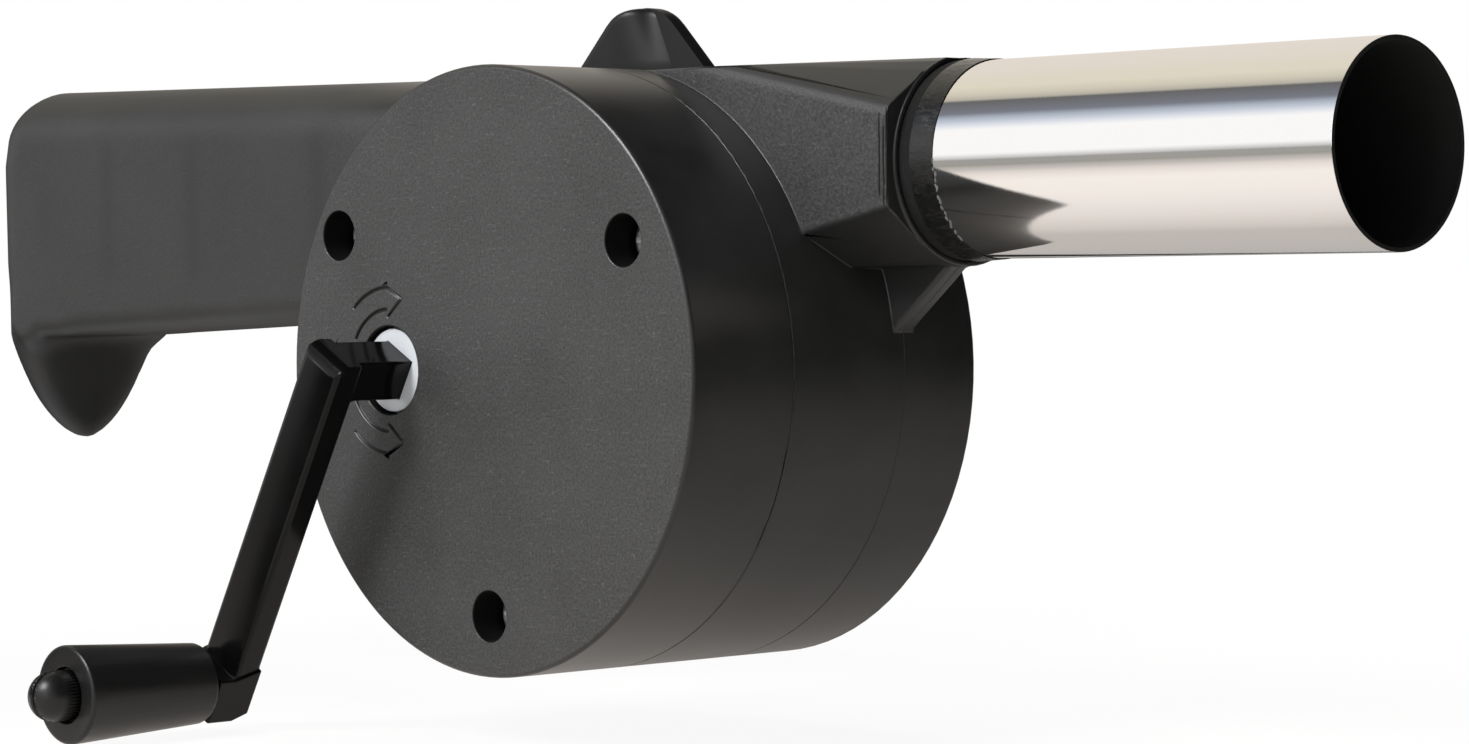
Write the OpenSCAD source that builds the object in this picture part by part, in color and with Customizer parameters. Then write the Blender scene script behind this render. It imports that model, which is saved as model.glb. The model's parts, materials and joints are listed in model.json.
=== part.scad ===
// Hand-cranked barbecue blower: a crank and a two-stage gear train spin a fan in a round drum.
// Millimetres, +Z up, +X along the air blast, -Y towards the crank.
// The origin is on the drum's axis, in the plane of the drum's rear face.

/* [Drum] */
// Outer radius of the drum
drum_r = 40.3; // [38:0.1:46]
// Depth of the drum, from the front face to the rear face
drum_depth = 51.5; // [48:0.1:58]
// Depth of the front cover
cover_depth = 17.6; // [17:0.1:19]
// Depth of the joint between the two housings, which also holds the tube's axis
split_depth = 37.9; // [36:0.1:39]
// Thickness of the drum's and the handle's side walls
wall = 2.2; // [1.6:0.1:2.8]
// Thickness of the front face, the gear plate and the rear wall
face_wall = 2.5; // [2:0.1:3]
// Chamfer on the drum's front and rear edges
edge_chamfer = 0.4; // [0.2:0.1:1.2]
// Radius of the ring of air slots in the rear wall
inlet_r = 22; // [18:0.5:26]

/* [Nozzle] */
// Outer radius of the steel tube
tube_r = 12.7; // [11:0.1:13]
// Wall of the steel tube
tube_wall = 0.6; // [0.4:0.1:1]
// Length of the steel tube
tube_len = 76; // [60:1:110]
// How far the tube's open end lies from the drum's axis
tube_reach = 120.5; // [104:0.5:150]
// How far the top of the tube lies below the top of the drum
tube_drop = 0.9; // [0.4:0.1:2]
// Depth of the duct's flat front face
duct_depth = 23.2; // [22.5:0.1:24]
// How far the duct's end lies from the drum's axis
duct_reach = 52; // [50:0.5:54]
// Least depth at which the duct holds the tube
tube_seat = 7; // [5:0.5:10]
// Height of the flat front face at the duct's end
duct_face_h = 12.8; // [10:0.1:15]
// Thickness of the seal's band around the tube
seal_t = 0.3; // [0.3:0.05:0.6]
// Thickness of the gusset under the duct, both halves together
gusset_t = 3.8; // [2.4:0.1:6]

/* [Handle] */
// How far the handle's end lies from the drum's axis
handle_reach = 152.9; // [140:0.1:170]
// Height of the handle at its end
handle_h = 39.2; // [34:0.1:42]
// Height of the handle where it leaves the drum
handle_root_h = 31.1; // [27:0.1:34]
// How far the handle's top rises along its length
handle_rise = 2.9; // [1:0.1:6]
// Radius of the handle's long edges
handle_edge_r = 7; // [4:0.5:9]
// Radius of the handle's end corners, seen from above
handle_end_r = 9; // [6:0.5:11]
// Radius of the handle's top corner, seen from the front
handle_top_r = 13; // [9:0.5:18]
// Thickness of the finger guard
guard_t = 11.4; // [9:0.1:15]
// Drop of the finger guard below the handle
guard_drop = 17.4; // [10:0.1:22]

/* [Crank] */
// How far the crank's axis lies from the drum's axis
crank_offset = 19.6; // [18:0.1:20]
// Radius of the crank, from its axis to the knob's axis
crank_len = 48.9; // [40:0.1:60]
// Angle of the crank from straight down
crank_tilt = 29.4; // [0:0.1:90]
// Width of the crank arm
arm_w = 8; // [6.5:0.1:9]
// Thickness of the crank arm
arm_t = 4; // [3:0.1:5]
// Gap between the front face and the crank arm
arm_gap = 8.2; // [6:0.1:14]
// Side of the crank's square shank
shank_side = 5.9; // [5:0.1:6.4]
// Length of the knob
knob_len = 21.6; // [16:0.1:30]
// Radius of the knob at its outer end
knob_r = 6.65; // [5.8:0.05:8]
// Radius of the knob at its inner end
knob_root_r = 5.55; // [5:0.05:7]
// Radius of the knob's pin
pin_r = 2.6; // [2.2:0.1:3]

/* [Gears and fan] */
// Gear module
gear_m = 0.8; // [0.8:0.01:0.82]
// Teeth on each large gear
wheel_teeth = 36; // [35:1:37]
// Teeth on each pinion
pinion_teeth = 10; // [10:1:11]
// Width of the gear teeth
tooth_w = 4; // [3:0.1:4.5]
// Play between the teeth, along the pitch circle
backlash = 0.14; // [0.1:0.01:0.25]
// Radius of the white hub in the front face
hub_r = 5.6; // [5.2:0.05:6.5]
// Radius of the fan's shaft and of the idler's axle
shaft_r = 1.5; // [1.2:0.05:1.7]
// Radius of the fan
fan_r = 29; // [24:0.5:30]
// Number of fan blades
blade_count = 10; // [6:1:12]
// Thickness of the fan's disc and blades
blade_t = 1.2; // [0.8:0.1:1.8]

/* [Fasteners and fits] */
// Radius of the screws
screw_r = 1.45; // [1.2:0.05:1.6]
// Radius of the screw heads
head_r = 2.85; // [2.6:0.05:3.1]
// Height of the screw heads
head_h = 2.2; // [1.6:0.1:2.6]
// Depth of the cover's screw heads below the front face
head_sink = 4; // [3:0.1:5]
// Radial clearance of a shaft that turns in its hole
run_gap = 0.05; // [0.03:0.01:0.08]
// Clearance of a piece that is pushed into its seat
fit_gap = 0.03; // [0.02:0.01:0.06]
// Gap between faces that slide or turn past each other
side_gap = 0.3; // [0.2:0.05:0.4]
// Thickness of the washers
washer_t = 0.5; // [0.3:0.05:0.6]

/* [Hidden] */
$fn = 64;
HULL_FN = 32;

BLACK = [0.09, 0.09, 0.09];
GLOSS_BLACK = [0.05, 0.05, 0.05];
NYLON = [0.93, 0.94, 0.95];
STEEL = [0.78, 0.78, 0.8];
BRASS = [0.78, 0.62, 0.3];
// Overshoot of a cutting solid past the face that it cuts
OVER = 1;

// Drum: depths are measured from the front face
drum_in_r = drum_r - wall;
chamber_front = cover_depth + face_wall;
chamber_back = drum_depth - face_wall;
lip_h = 1.5;
lip_gap = 0.2;
lip_t = 1.6;

// Cover screws: angle in the front view and distance of each axis from the drum's rim
near_inset = 5.1;
far_inset = 8.1;
cover_screw_spots = [[148.7, near_inset], [31.5, far_inset], [271, far_inset]];
screw_clear = 0.15;
well_r = head_r + 0.5;
head_seat = head_sink + head_h;
cover_boss_r = well_r + 1.2;
cover_boss_back = head_seat + 2;
cover_screw_len = 9;

// Gear train: layers from the front
PRESSURE_ANGLE = 25;
ADDENDUM = 0.8;
DEDENDUM = 1.05;
FLANK_STEPS = 5;
wheel_r = gear_m * wheel_teeth / 2;
pinion_r = gear_m * pinion_teeth / 2;
wheel_tip_r = wheel_r + gear_m * ADDENDUM;
axis_gap = wheel_r + pinion_r;
crank_at = [-crank_offset, 0];
idler_at = [-crank_offset / 2, sqrt(axis_gap * axis_gap - crank_offset * crank_offset / 4)];
fan_at = [0, 0];
hub_gap = 0.4;
hub_front = 0.7;
layer1_front = face_wall + 1;
layer1_back = layer1_front + tooth_w;
layer2_front = layer1_back + 1.2;
layer2_back = layer2_front + tooth_w;
idler_back = layer2_back + 0.2;
bearing_front = idler_back + washer_t + 2 * fit_gap + 0.2;
blind_back = chamber_front - 1;
journal_r = 2.8;
pivot_r = 2;
pivot_boss_r = 4.6;
axle_boss_r = 3.2;
axle_boss_back = face_wall + 0.9;
axle_front = face_wall - 1.2;
idler_front = axle_boss_back + washer_t + 3 * fit_gap;
idler_washer_r = axis_gap - wheel_tip_r - 0.5;

// Gear phases, in degrees counter-clockwise in the front view
crank_phase = 90 - crank_tilt;
idler_pinion_phase = mesh_phase(crank_at, idler_at, crank_phase, wheel_teeth, pinion_teeth);
idler_wheel_phase = idler_pinion_phase;
fan_phase = mesh_phase(idler_at, fan_at, idler_wheel_phase, wheel_teeth, pinion_teeth);

// Fan line along the drum's axis
bush_r = 3.2;
bush_flange_r = 4.6;
bush_flange_t = 0.8;
bush_boss_r = 5.2;
fan_pinion_front = layer2_front - 0.2;
fan_pinion_back = layer2_back + 0.2;
fan_front = fan_pinion_front - 0.5;
clip_front = chamber_front + bush_flange_t + washer_t + 4 * fit_gap;
clip_t = 0.6;
clip_r = 3.2;
washer_r = 3.4;
impeller_front = clip_front + clip_t + 0.4;
impeller_back = chamber_back - 3.1;
impeller_disc = impeller_front + 1;
impeller_hub_r = 4.5;
impeller_hub_back = impeller_disc + 15;
blade_in_r = 9;
blade_lean = 22;
rear_hub_r = 6;
rear_hub_front = chamber_back - 2.4;
rear_pocket_back = drum_depth - 1.5;
slot_count = 16;
slot_in_r = rear_hub_r + 3;
slot_w = 2.6;

// Housing screws: angles round the drum
housing_screw_angles = [152, 262, 348];
post_r = 3.6;
post_at_r = drum_in_r - post_r + 0.2;
rear_head_seat = split_depth + 3;
rear_screw_len = 11;
handle_screw_len = 9;

// Nozzle: the tube lies along X
tube_z = drum_r - tube_drop - tube_r;
tube_front = tube_reach - tube_len;
duct_end = max(duct_reach, tube_front + tube_seat);
seal_r = tube_r + fit_gap + seal_t;
neck_r = seal_r - 0.12;
socket_r = neck_r + fit_gap;
flange_r = socket_r + 0.7;
duct_top = drum_r - 0.4;
duct_face_mid = tube_z + 0.3;
duct_face_x = duct_end - 0.3;
duct_root_x = 36.3;
duct_root_drop = 22.8;
duct_root_z = drum_r - duct_root_drop;
duct_throat_x = 24;
seal_band = [duct_end + 1.8, duct_end + 5.6];
gusset_low = [drum_r - 0.8, 4.2];
gusset_high = [duct_end - 1.1, tube_z - flange_r + 0.6];

// Handle: half-thickness reaches from the housing joint to the rear face
handle_half = drum_depth - split_depth;
handle_root_x = -4;
handle_root_top = drum_r - 0.3;
handle_top = handle_root_top + handle_rise;
handle_bottom = handle_top - handle_h;
guard_x = guard_t - handle_reach;
guard_fillet_r = 6;
END_STEPS = 8;
TONGUE_STEPS = 24;
TONGUE_POWER = 1.25;
rib_xs = [-65.6, -96.3, -118.5];
rib_t = 1.6;
handle_screw_xs = [-55, -107, -136];
handle_screw_z = (handle_top + handle_bottom) / 2;
handle_post_r = 4;
handle_head_seat = split_depth + 4;

// Ear: two lugs on top of the drum, one on each housing
ear_mid = -8.9;
ear_half = 10.8;
ear_top = drum_r + 9.2;
ear_foot = drum_r + 1.4;
ear_crown_r = 7.2;
ear_lug_t = 3;
ear_screw_at = [ear_mid - 3.6, drum_r + 4.2];
ear_screw_len = 5;

// Crank: built hanging straight down, then tilted about its axis
arm_back = -arm_gap;
arm_front = arm_back - arm_t;
arm_chamfer = 0.4;
arm_bevel = [1, 0.45];
arm_bend_r = 2.2;
block_half_w = arm_w / 2 + 0.4;
// Depth of the block below the pin, its chamfer at the back, and its height above the pin: front, back
block_low = 3.9;
block_heel = [2.4, 1.1];
block_high = [pin_r + 0.3, pin_r + 1.7];
block_front = arm_front - 2.5;
knob_back = block_front - side_gap;
knob_front = knob_back - knob_len;
knob_edge_r = 0.6;
knob_well_depth = 1.2;
snap_r = pin_r + 0.8;
knob_well_r = snap_r + 0.35;
snap_back = knob_front + knob_well_depth - side_gap;
snap_mid = knob_front - 1.8;
slit_w = 0.35;
slit_len = 9;
shank_end = layer1_back - 1.4;

// Y of a plane at a given depth behind the front face
function y_at(depth) = depth - drum_depth;

// Point at a radius and an angle of the front view
function polar(r, a) = [r * cos(a), r * sin(a)];

// How far a rounded corner of radius r has dropped at a run from its end
function arc_drop(run, r) = run >= r ? 0 : r - sqrt(r * r - (r - run) * (r - run));

// Outline of the finger guard's tongue: flat top, pointed-oval lower half
function tongue_points(half, drop) = [
    for (i = [0:TONGUE_STEPS])
        let (a = 180 * i / TONGUE_STEPS, c = cos(a))
        [half * sign(c) * pow(abs(c), TONGUE_POWER), -drop * pow(sin(a), TONGUE_POWER)]
];

// Involute function of a pressure angle, in degrees
function inv(a) = tan(a) * 180 / PI - a;

// Angle between a tooth's middle and its flank at radius r
function half_tooth(teeth, r) =
    let (pitch_r = gear_m * teeth / 2, base_r = pitch_r * cos(PRESSURE_ANGLE))
    90 / teeth - backlash / 2 / pitch_r * 90 / PI
    + inv(PRESSURE_ANGLE) - inv(acos(min(1, base_r / r)));

// Outline of a spur gear with a tooth at angle 0
function gear_points(teeth) =
    let (
        pitch_r = gear_m * teeth / 2,
        root_r = pitch_r - gear_m * DEDENDUM,
        tip_r = pitch_r + gear_m * ADDENDUM,
        foot_r = max(root_r, pitch_r * cos(PRESSURE_ANGLE)),
        flank = [for (i = [0:FLANK_STEPS]) foot_r + (tip_r - foot_r) * i / FLANK_STEPS]
    )
    [for (k = [0:teeth - 1])
        let (mid = 360 * k / teeth)
        each concat(
            [polar(root_r, mid - half_tooth(teeth, foot_r) - 0.02)],
            [for (r = flank) polar(r, mid - half_tooth(teeth, r))],
            [for (i = [FLANK_STEPS:-1:0]) polar(flank[i], mid + half_tooth(teeth, flank[i]))],
            [polar(root_r, mid + half_tooth(teeth, foot_r) + 0.02)]
        )];

// Phase of the gear at b that meshes with the gear at a
function mesh_phase(a, b, phase_a, teeth_a, teeth_b) =
    let (
        line = atan2(b[1] - a[1], b[0] - a[0]),
        turn_a = (phase_a - line) * teeth_a / 360
    )
    line + 180 + (0.5 - turn_a) * 360 / teeth_b;

// Moves children to a point of the front view
module at(p) {
    translate([p[0], 0, p[1]]) children();
}

// Cylinder along Y between two depths
module rod(r, from, to) {
    translate([0, y_at(from), 0]) rotate([-90, 0, 0]) cylinder(r = r, h = to - from);
}

// Flat ring along Y between two depths
module ring(r, hole, from, to) {
    difference() {
        rod(r, from, to);
        rod(hole, from - OVER, to + OVER);
    }
}

// Solid of revolution about Y from points of radius and depth
module turned(points) {
    translate([0, y_at(0), 0]) rotate([-90, 0, 0]) rotate_extrude() polygon(points);
}

// Extrudes an outline of the front view between two depths
module plate(from, to) {
    translate([0, y_at(to), 0]) rotate([90, 0, 0]) linear_extrude(to - from) children();
}

// Cylinder along X on the tube's axis
module pipe(r, from, to) {
    translate([from, y_at(split_depth), tube_z]) rotate([0, 90, 0]) cylinder(r = r, h = to - from);
}

// Spur gear between two depths
module gear(teeth, phase, from, to) {
    plate(from, to) rotate(phase) polygon(gear_points(teeth));
}

// Pan-head screw with a cross recess, head at the origin's -Z side
module screw(len) {
    slot = [head_r * 1.3, 0.8, head_h * 1.1];
    difference() {
        union() {
            rotate_extrude() polygon([
                [0, -head_h], [head_r * 0.6, -head_h], [head_r * 0.9, -head_h * 0.75],
                [head_r, -head_h * 0.4], [head_r, 0], [0, 0]
            ]);
            cylinder(r = screw_r, h = len - screw_r);
            translate([0, 0, len - screw_r]) cylinder(r1 = screw_r, r2 = 0.4, h = screw_r);
        }
        for (turn = [0, 90]) rotate(turn) translate([0, 0, -head_h]) cube(slot, center = true);
    }
}

// Screw that goes in from the front, head seat at a depth
module front_screw(p, seat, len) {
    translate([p[0], y_at(seat), p[1]]) rotate([-90, 0, 0]) screw(len);
}

// Screw that goes in from the rear, head seat at a depth
module rear_screw(p, seat, len) {
    translate([p[0], y_at(seat), p[1]]) rotate([90, 0, 0]) screw(len);
}

// Hole for a screw from the rear: head well, clearance hole and threaded hole
module rear_screw_hole(p, seat, len) {
    at(p) {
        rod(well_r, seat, drum_depth + OVER);
        rod(screw_r + screw_clear, split_depth, seat + OVER);
        rod(screw_r + fit_gap, seat - len - 0.5, split_depth + OVER);
    }
}

function cover_screw_at(spot) = polar(drum_r - spot[1], spot[0]);
function post_at(a) = polar(post_at_r, a);

// Arc-shaped line of the front view between two angles
module arc_line(r, from, to, line_w) {
    mid = (from + to) / 2;
    reach = r * 2;
    intersection() {
        difference() {
            circle(r = r + line_w / 2);
            circle(r = r - line_w / 2);
        }
        polygon([[0, 0], polar(reach, from), polar(reach, mid), polar(reach, to)]);
    }
}

// Straight line of the front view
module line(p, q, line_w) {
    d = q - p;
    translate(p) rotate(atan2(d[1], d[0])) translate([0, -line_w / 2]) square([norm(d), line_w]);
}

// Outline of a curved arrow that shows which way the crank turns
module turn_arrow() {
    w = 0.3;
    inner = hub_r + 2.65;
    outer = inner + 2.95;
    tail = 150;
    neck = 92;
    tip = polar(inner + 1.75, neck - 18);
    arc_line(inner, neck, tail, w);
    arc_line(outer, neck, tail - 18, w);
    for (barb = [inner - 1.1, outer]) line(polar(barb, neck), tip, w);
}

module front_cover() {
    arrow_depth = 0.3;
    color(BLACK) difference() {
        union() {
            turned([
                [0, 0], [drum_r - edge_chamfer, 0], [drum_r, edge_chamfer], [drum_r, cover_depth],
                [drum_in_r, cover_depth], [drum_in_r, face_wall], [0, face_wall]
            ]);
            for (spot = cover_screw_spots)
                at(cover_screw_at(spot)) rod(cover_boss_r, face_wall - 0.5, cover_boss_back);
            at(idler_at) rod(axle_boss_r, face_wall - 0.5, axle_boss_back);
        }
        at(crank_at) rod(hub_r + hub_gap, -OVER, face_wall + OVER);
        at(idler_at) rod(shaft_r + fit_gap, axle_front - fit_gap, axle_boss_back + OVER);
        for (spot = cover_screw_spots) at(cover_screw_at(spot)) {
            rod(well_r, -OVER, head_seat);
            rod(screw_r + screw_clear, head_seat - OVER, cover_boss_back + OVER);
        }
        at(crank_at) plate(-OVER, arrow_depth) {
            turn_arrow();
            mirror([0, 1]) turn_arrow();
        }
    }
}

// Outer form of the duct: flat front face, flat top, round end
module duct_form() {
    face_low = duct_face_mid - duct_face_h / 2;
    face_high = duct_face_mid + duct_face_h / 2;
    skin = 0.4;
    intersection() {
        union() {
            hull() {
                plate(duct_depth, duct_depth + skin) polygon([
                    [0, duct_top], [drum_r / 2, duct_top], [duct_face_x, face_high],
                    [duct_face_x, face_low], [duct_root_x, duct_root_z], [0, duct_root_z]
                ]);
                plate(split_depth - 8, drum_depth) translate([0, tube_z - flange_r])
                    square([duct_root_x, duct_top - tube_z + flange_r]);
                pipe(flange_r, duct_face_x - skin, duct_face_x, $fn = HULL_FN);
            }
            pipe(flange_r, duct_face_x - OVER, duct_end);
        }
        plate(0, drum_depth) square([tube_reach, tube_z + tube_r + 0.4]);
    }
}

// Air passage of the duct, from the fan chamber to the tube
module duct_passage() {
    bore = tube_r - tube_wall;
    hull() {
        plate(duct_depth + wall, chamber_back) translate([0, tube_z - bore + wall])
            square([duct_throat_x, 2 * bore - wall - tube_drop]);
        pipe(bore, tube_front - 0.2, tube_front, $fn = HULL_FN);
    }
    pipe(socket_r, tube_front, duct_end + OVER);
}

// Section of the handle across X, with rounded corners
module handle_slice(x, half, top, bottom, r) {
    for (y = [-1, 1], z = [bottom + r, top - r])
        translate([x, y_at(split_depth) + y * (half - r), z])
            rotate([0, 90, 0]) cylinder(r = r, h = 0.1, $fn = HULL_FN);
}

// Tapered grip with a rounded end, drawn in by an inset for the hollow
module grip(inset, root_x) {
    r = handle_edge_r - inset;
    half = handle_half - inset;
    end_x = inset - handle_reach;
    end_r = handle_end_r - inset;
    top_r = handle_top_r - inset;
    share = (handle_root_x - root_x) / (handle_root_x - end_x);
    root_top = handle_root_top + share * handle_rise;
    root_bottom = root_top - handle_root_h - share * (handle_h - handle_root_h);
    hull() {
        handle_slice(root_x, half, root_top - inset, root_bottom + inset, r);
        for (i = [0:END_STEPS]) {
            run = top_r * (1 - cos(90 * i / END_STEPS));
            narrow = half - arc_drop(run, end_r);
            top = handle_top - inset - arc_drop(run, top_r);
            handle_slice(end_x + run, narrow, top, handle_bottom + inset, min(r, narrow - 0.5));
        }
    }
}

// Finger guard: a round tongue that hangs from the handle's end
module finger_guard() {
    back_x = -handle_reach;
    // Place along X, half-width and drop of each section
    sections = [
        [guard_x, handle_half - 2.4, guard_drop - 0.8],
        [guard_x - 1.5, handle_half - 1.2, guard_drop],
        [back_x + guard_t * 0.6, handle_half - 1.4, guard_drop - 0.4],
        [back_x + guard_t * 0.3, handle_half - 3.4, guard_drop * 0.86],
        [back_x + guard_t * 0.1, handle_half - 7, guard_drop * 0.5]
    ];
    hull() for (s = sections)
        translate([s[0], y_at(split_depth), handle_bottom + 1]) rotate([90, 0, 90])
            linear_extrude(0.1) polygon(tongue_points(s[1], s[2]));
    fillet_half = handle_half - 3.5;
    plate(split_depth - fillet_half, split_depth + fillet_half)
        translate([guard_x - OVER, handle_bottom - guard_fillet_r]) difference() {
            square([guard_fillet_r + OVER, guard_fillet_r + 1.5]);
            translate([guard_fillet_r + OVER, 0]) circle(r = guard_fillet_r);
        }
}

module gusset() {
    half = gusset_t / 2;
    plate(split_depth - half, split_depth + half) polygon([
        gusset_low, gusset_high, [gusset_high[0] - 2, tube_z - socket_r - 0.5],
        [drum_r - 3, tube_z - socket_r - 0.5], [drum_r - 3, gusset_low[1]]
    ]);
}

// Bell outline of the ear
module ear_outline() {
    hull() {
        translate([ear_mid, ear_top - ear_crown_r]) circle(r = ear_crown_r);
        translate([ear_mid - ear_half, drum_r - 8]) square([2 * ear_half, ear_foot - drum_r + 8]);
    }
}

// The part of the ear that the front lug covers
module ear_front_half() {
    polygon([
        [ear_mid - 2 * ear_half, 0], [ear_mid + 2.4, 0], [ear_mid + 2, ear_foot],
        [ear_mid + 0.6, ear_top + OVER], [ear_mid - 2 * ear_half, ear_top + OVER]
    ]);
}

// Both housings' outer form, without the ears
module housing_form() {
    turned([
        [0, cover_depth], [drum_r, cover_depth], [drum_r, drum_depth - edge_chamfer],
        [drum_r - edge_chamfer, drum_depth], [0, drum_depth]
    ]);
    duct_form();
    gusset();
    grip(0, handle_root_x);
    finger_guard();
}

// What is hollow inside both housings, with the posts and ribs left standing
module housing_hollow() {
    rib_half = rib_t / 2;
    difference() {
        rod(drum_in_r, chamber_front, chamber_back);
        for (a = housing_screw_angles) at(post_at(a)) rod(post_r, cover_depth, drum_depth);
        rod(rear_hub_r, rear_hub_front, drum_depth);
    }
    duct_passage();
    difference() {
        grip(wall, -drum_r / 2);
        rod(drum_r, cover_depth - OVER, drum_depth + OVER);
        for (x = rib_xs) plate(0, drum_depth) translate([x - rib_half, 0]) square([rib_t, 2 * drum_r]);
        for (x = handle_screw_xs) at([x, handle_screw_z]) rod(handle_post_r, 0, drum_depth);
    }
}

// The slab of space between two depths
module slab(from, to) {
    reach = 2 * (handle_reach + tube_reach);
    translate([-reach / 2, y_at(from), -reach / 2]) cube([reach, to - from, reach]);
}

module all_rear_screw_holes() {
    for (a = housing_screw_angles) rear_screw_hole(post_at(a), rear_head_seat, rear_screw_len);
    for (x = handle_screw_xs) rear_screw_hole([x, handle_screw_z], handle_head_seat, handle_screw_len);
}

module mid_housing() {
    color(BLACK) difference() {
        union() {
            difference() {
                union() {
                    intersection() {
                        housing_form();
                        slab(cover_depth, split_depth);
                    }
                    plate(split_depth - ear_lug_t, split_depth) intersection() {
                        ear_outline();
                        ear_front_half();
                    }
                }
                housing_hollow();
            }
            ring(drum_in_r - lip_gap, drum_in_r - lip_gap - lip_t, cover_depth - lip_h, cover_depth + 0.5);
            intersection() {
                for (spot = cover_screw_spots)
                    at(cover_screw_at(spot)) rod(cover_boss_r - 0.5, cover_boss_back, cover_depth + 0.5);
                rod(drum_in_r - lip_gap, 0, drum_depth);
            }
            at(crank_at) rod(pivot_boss_r, bearing_front, cover_depth + 0.5);
            at(idler_at) rod(axle_boss_r, bearing_front, cover_depth + 0.5);
            rod(bush_boss_r, bearing_front, cover_depth + 0.5);
        }
        for (spot = cover_screw_spots)
            at(cover_screw_at(spot)) rod(screw_r + fit_gap, cover_boss_back - OVER, cover_depth - 0.8);
        at(crank_at) rod(pivot_r + run_gap, bearing_front - OVER, blind_back);
        at(idler_at) rod(shaft_r + fit_gap, bearing_front - OVER, blind_back);
        rod(bush_r + fit_gap, bearing_front - OVER, chamber_front + OVER);
        all_rear_screw_holes();
        at(ear_screw_at) rod(screw_r + fit_gap, split_depth - ear_lug_t + 0.8, split_depth + OVER);
    }
}

module rear_housing() {
    color(BLACK) difference() {
        union() {
            intersection() {
                housing_form();
                slab(split_depth, drum_depth);
            }
            plate(split_depth, split_depth + ear_lug_t) ear_outline();
        }
        housing_hollow();
        rod(bush_r + fit_gap, rear_hub_front - OVER, rear_pocket_back);
        for (k = [0:slot_count - 1])
            plate(chamber_back - OVER, drum_depth + OVER) rotate(360 * k / slot_count)
                translate([slot_in_r, -slot_w / 2]) square([inlet_r - slot_in_r, slot_w]);
        all_rear_screw_holes();
        at(ear_screw_at) rod(screw_r + screw_clear, split_depth - OVER, drum_depth);
    }
}

module blast_tube() {
    color(STEEL) difference() {
        pipe(tube_r, tube_front, tube_reach);
        pipe(tube_r - tube_wall, tube_front - OVER, tube_reach + OVER);
    }
}

module tube_seal() {
    color(GLOSS_BLACK) difference() {
        union() {
            pipe(neck_r, tube_front + fit_gap, seal_band[0] + OVER);
            pipe(seal_r, seal_band[0], seal_band[1]);
        }
        pipe(tube_r + fit_gap, tube_front - OVER, seal_band[1] + OVER);
    }
}

module cover_screws() {
    color(STEEL) for (spot = cover_screw_spots)
        front_screw(cover_screw_at(spot), head_seat, cover_screw_len);
}

module housing_screws() {
    color(STEEL) for (a = housing_screw_angles) rear_screw(post_at(a), rear_head_seat, rear_screw_len);
}

module handle_screws() {
    color(STEEL) for (x = handle_screw_xs)
        rear_screw([x, handle_screw_z], handle_head_seat, handle_screw_len);
}

module ear_screw() {
    color(STEEL) rear_screw(ear_screw_at, split_depth + ear_lug_t, ear_screw_len);
}

module idler_axle() {
    color(STEEL) at(idler_at) rod(shaft_r, axle_front, blind_back - fit_gap);
}

module idler_washers() {
    color(STEEL) at(idler_at) {
        for (front = [axle_boss_back + fit_gap, bearing_front - fit_gap - washer_t])
            ring(idler_washer_r, shaft_r + fit_gap, front, front + washer_t);
    }
}

module crank_washer() {
    color(STEEL) at(crank_at)
        ring(pivot_boss_r, pivot_r + run_gap, bearing_front - fit_gap - washer_t, bearing_front - fit_gap);
}

module fan_bush_front() {
    color(BRASS) difference() {
        union() {
            rod(bush_r, bearing_front, chamber_front + bush_flange_t);
            rod(bush_flange_r, chamber_front, chamber_front + bush_flange_t);
        }
        rod(shaft_r + run_gap, bearing_front - OVER, chamber_front + bush_flange_t + OVER);
    }
}

module fan_bush_rear() {
    color(BRASS) ring(bush_r, shaft_r + run_gap, rear_hub_front, rear_pocket_back - fit_gap);
}

module crank_gear() {
    step = bearing_front - 2 * fit_gap - washer_t - 0.1;
    socket = shank_side + 2 * fit_gap;
    color(NYLON) at(crank_at) difference() {
        union() {
            rod(hub_r, hub_front, layer1_front + 0.5);
            rod(hub_r + 1.6, face_wall + side_gap, layer1_front + 0.5);
            gear(wheel_teeth, crank_phase, layer1_front, layer1_back);
            rod(journal_r, layer1_back - 0.5, step);
            rod(pivot_r, layer1_back - 0.5, blind_back - side_gap);
        }
        rotate([0, crank_tilt, 0]) translate([-socket / 2, y_at(-OVER), -socket / 2])
            cube([socket, shank_end + side_gap + OVER, socket]);
    }
}

module idler_gear() {
    color(NYLON) at(idler_at) difference() {
        union() {
            gear(pinion_teeth, idler_pinion_phase, idler_front, layer2_front + 0.5);
            gear(wheel_teeth, idler_wheel_phase, layer2_front, layer2_back);
            rod(pinion_r, layer2_back - 0.5, idler_back);
        }
        rod(shaft_r + run_gap, idler_front - OVER, idler_back + OVER);
    }
}

// Flat arm with chamfered long edges and a rounded bend at the top
module arm_bar() {
    top = shank_side / 2;
    low = -crank_len;
    half = arm_w / 2;
    intersection() {
        translate([0, 0, low]) linear_extrude(top - low) polygon([
            [-half + arm_bevel[0], y_at(arm_front)], [half - arm_chamfer, y_at(arm_front)],
            [half, y_at(arm_front + arm_chamfer)], [half, y_at(arm_back - arm_chamfer)],
            [half - arm_chamfer, y_at(arm_back)], [-half + arm_chamfer, y_at(arm_back)],
            [-half, y_at(arm_back - arm_chamfer)], [-half, y_at(arm_front + arm_bevel[1])]
        ]);
        translate([-half, 0, 0]) rotate([90, 0, 90]) linear_extrude(arm_w) union() {
            translate([y_at(arm_front), low]) square([arm_t, top - low - arm_bend_r]);
            translate([y_at(arm_front + arm_bend_r), low]) square([arm_t - arm_bend_r, top - low]);
            translate([y_at(arm_front + arm_bend_r), top - arm_bend_r]) circle(r = arm_bend_r);
        }
    }
}

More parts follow.
